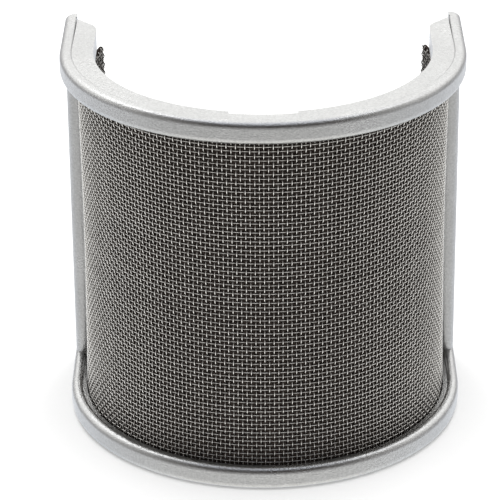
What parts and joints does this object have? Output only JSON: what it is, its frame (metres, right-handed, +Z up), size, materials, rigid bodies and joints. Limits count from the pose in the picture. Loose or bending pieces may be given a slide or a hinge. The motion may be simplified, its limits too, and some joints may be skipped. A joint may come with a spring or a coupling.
{
  "type": "pop filter",
  "caption": "U-shaped microphone pop filter: a curved screen of woven steel wire over foam in a silver frame, open at the back, held by elastic bands.",
  "frame": {"origin": "bottom centre of the object's bounding box", "axes": "+Z up, +Y towards the open back where the microphone goes in, +X to the right seen from the front"},
  "size_m": [0.09, 0.0675, 0.0869],
  "materials": {
    "silver_frame": "moulded plastic with fine silver metallic paint",
    "steel_mesh": "plain-woven stainless wire cloth",
    "foam": "open-cell charcoal foam",
    "screw_steel": "nickel-plated steel",
    "band_rubber": "matt black elastic rubber"
  },
  "bodies": {
    "root": {"top_rim": "silver_frame", "bottom_rim": "silver_frame", "top_inner_ring": "silver_frame", "bottom_inner_ring": "silver_frame", "left_post": "silver_frame", "right_post": "silver_frame", "outer_mesh": "steel_mesh", "foam_liner": "foam", "inner_mesh": "steel_mesh", "foot_screws": "screw_steel", "lower_band": "band_rubber", "upper_band": "band_rubber"}
  },
  "joints": []
}
